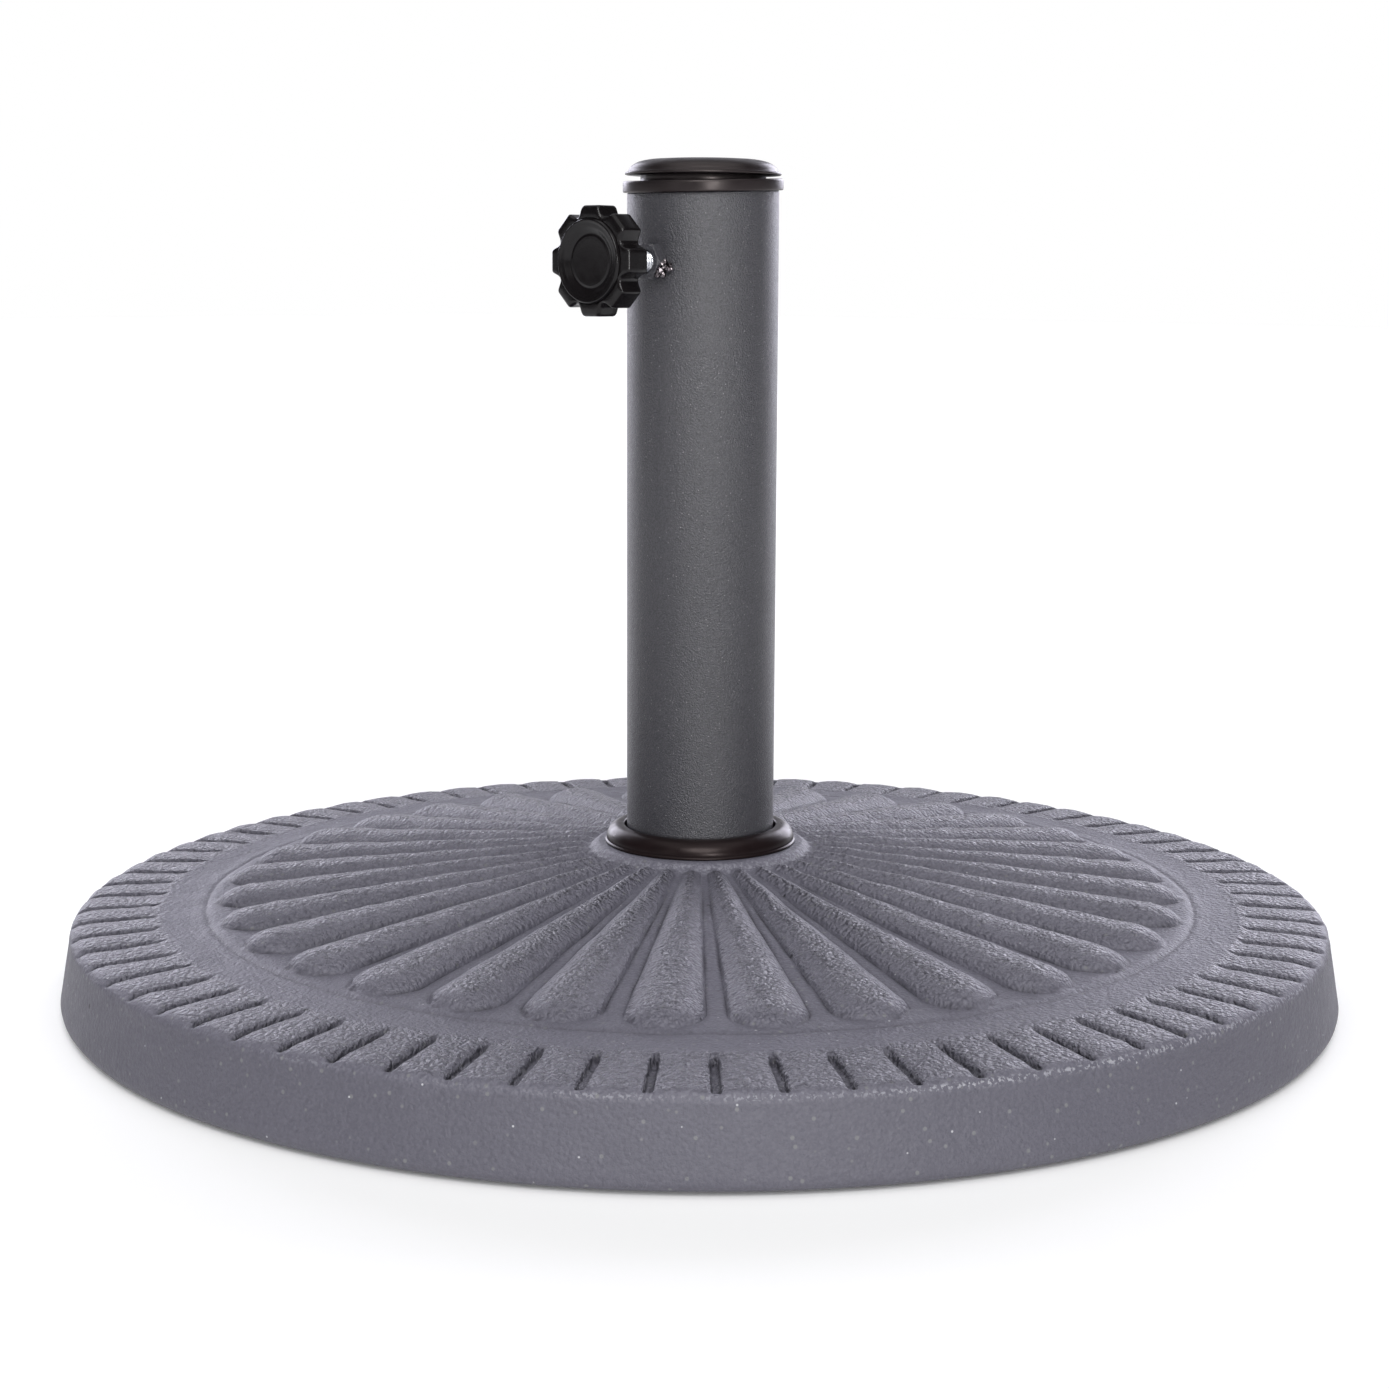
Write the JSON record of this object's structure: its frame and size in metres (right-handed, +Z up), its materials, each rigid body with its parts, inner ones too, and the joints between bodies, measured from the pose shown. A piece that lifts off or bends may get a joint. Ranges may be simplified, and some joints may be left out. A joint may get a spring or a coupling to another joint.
{
  "type": "parasol base",
  "caption": "Round fluted stone-resin parasol base with a steel post, a reducer sleeve under a domed cap, and a hand knob whose screw clamps the pole.",
  "frame": {"origin": "on the ground under the centre of the round base", "axes": "+Z up along the post; -Y is the side that the clamp knob points to; +X is to the right of someone facing the knob"},
  "size_m": [0.49, 0.49, 0.3162],
  "materials": {
    "cast_stone": "painted cast resin and stone, hammered texture, satin",
    "post_paint": "fine-textured powder coat",
    "black_plastic": "satin moulded plastic",
    "zinc_steel": "bright zinc plated",
    "raw_steel": "bare welded steel",
    "pad_rubber": "matt",
    "nylon": "natural nylon"
  },
  "bodies": {
    "base": {"base_casting": "cast_stone", "foot_pads": "pad_rubber", "base_washer": "zinc_steel", "spring_washer": "zinc_steel", "base_bolt": "zinc_steel", "tube": "post_paint", "end_plate": "raw_steel", "end_plate_weld": "raw_steel", "end_plate_nut": "raw_steel", "end_plate_nut_welds": "raw_steel", "knob_nut": "post_paint", "knob_nut_welds": "raw_steel"},
    "ring": {"trim_ring": "black_plastic"},
    "sleeve": {"reducer_sleeve": "black_plastic"},
    "cap": {"top_cap": "black_plastic"},
    "screw_tip": {"screw_tip_pad": "nylon"},
    "knob": {"clamp_screw": "zinc_steel", "knob_grip": "black_plastic", "knob_face": "black_plastic"}
  },
  "joints": [
    {"name": "ring_lift", "type": "slide", "parent": "base", "child": "ring", "axis": [0, 0, 1], "range_m": [0, 0.2]},
    {"name": "sleeve_lift", "type": "slide", "parent": "base", "child": "sleeve", "axis": [0, 0, 1], "range_m": [0, 0.1]},
    {"name": "cap_lift", "type": "slide", "parent": "sleeve", "child": "cap", "axis": [0, 0, 1], "range_m": [0, 0.3]},
    {"name": "screw_travel", "type": "slide", "parent": "base", "child": "screw_tip", "axis": [0, -1, 0], "range_m": [-0.0051, 0.0063]},
    {"name": "knob_turn", "type": "hinge", "parent": "screw_tip", "child": "knob", "pos_m": [0, -0.05, 0.278], "axis": [0, -1, 0], "range_deg": [-1440, 1800]}
  ],
  "couplings": [
    {"joint": "screw_travel", "follows": "knob_turn", "m_per_rad": 0.00019894}
  ]
}
